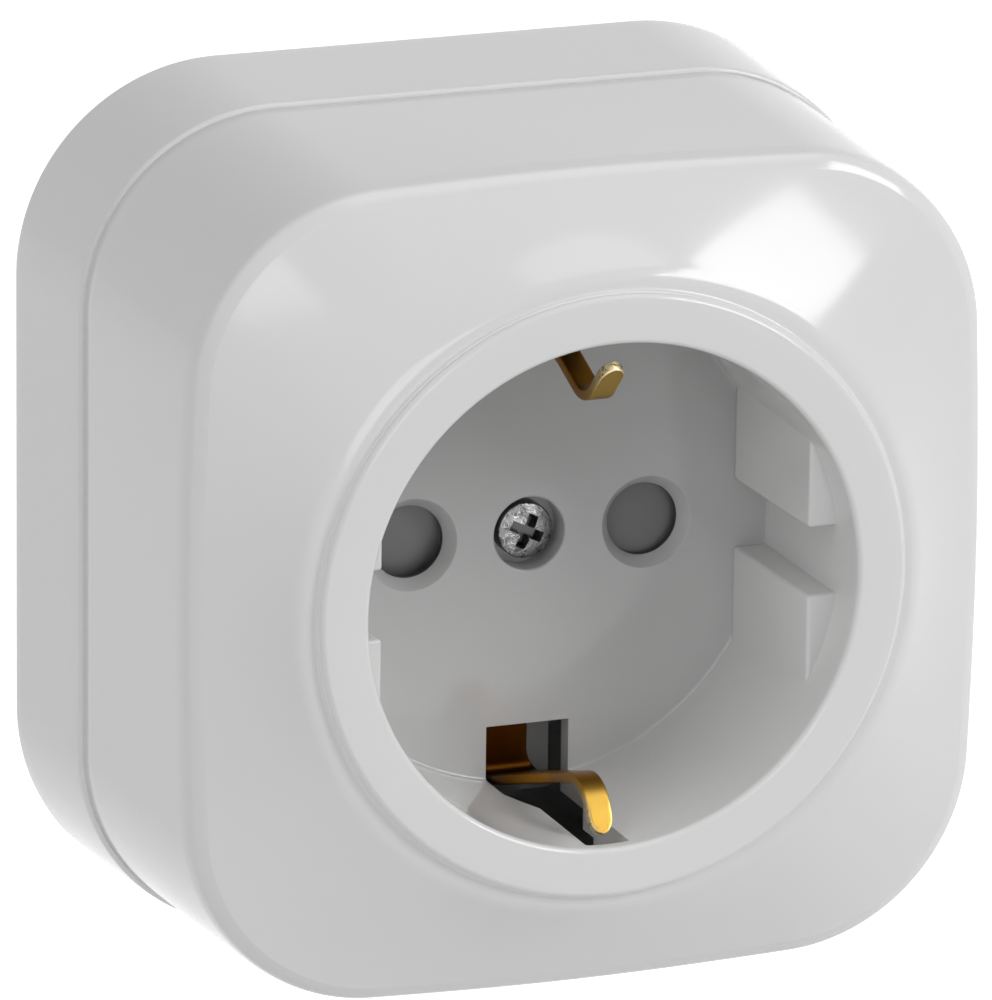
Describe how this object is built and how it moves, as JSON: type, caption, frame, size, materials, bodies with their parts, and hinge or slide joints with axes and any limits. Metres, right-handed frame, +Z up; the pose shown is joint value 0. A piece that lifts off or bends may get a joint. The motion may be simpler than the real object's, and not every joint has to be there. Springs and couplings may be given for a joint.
{
  "type": "power socket",
  "caption": "Surface-mounted earthed power socket: a white rounded box with a round plug well, side earth fingers and a turning safety shutter.",
  "frame": {"origin": "centre of the flat back face that lies on the wall", "axes": "+Z up; +X to the right as seen from the front; the front face looks along -Y, and +Y points into the wall"},
  "size_m": [0.0662, 0.0412, 0.0662],
  "materials": {
    "housing": "gloss white moulding",
    "dark_moulding": "dark grey moulding",
    "shutter_plastic": "dark grey moulding",
    "contact_brass": "bare stamped brass",
    "spring_steel": "drawn spring steel",
    "zinc_steel": "zinc-plated steel"
  },
  "bodies": {
    "socket": {"base": "housing", "front_cover": "housing", "well_floor": "housing", "contact_carrier": "dark_moulding", "shutter_spring": "spring_steel", "live_contact": "contact_brass", "neutral_contact": "contact_brass", "earth_contact": "contact_brass", "live_terminal_screw": "zinc_steel", "neutral_terminal_screw": "zinc_steel", "earth_terminal_screw": "zinc_steel", "live_clamp_plate": "zinc_steel", "neutral_clamp_plate": "zinc_steel", "earth_clamp_plate": "zinc_steel", "cover_screw": "zinc_steel", "cover_nut": "zinc_steel", "carrier_screw_left": "zinc_steel", "carrier_screw_right": "zinc_steel", "live_grip_spring": "spring_steel", "neutral_grip_spring": "spring_steel"},
    "shutter": {"shutter": "shutter_plastic"}
  },
  "joints": [
    {"name": "shutter_turn", "type": "hinge", "parent": "socket", "child": "shutter", "pos_m": [0, -0.02095, 0], "axis": [0, 1, 0], "range_deg": [0, 38], "stiffness_Nm_per_rad": 0.004, "springref_deg": -20.05, "deforming": ["shutter_spring"]}
  ]
}
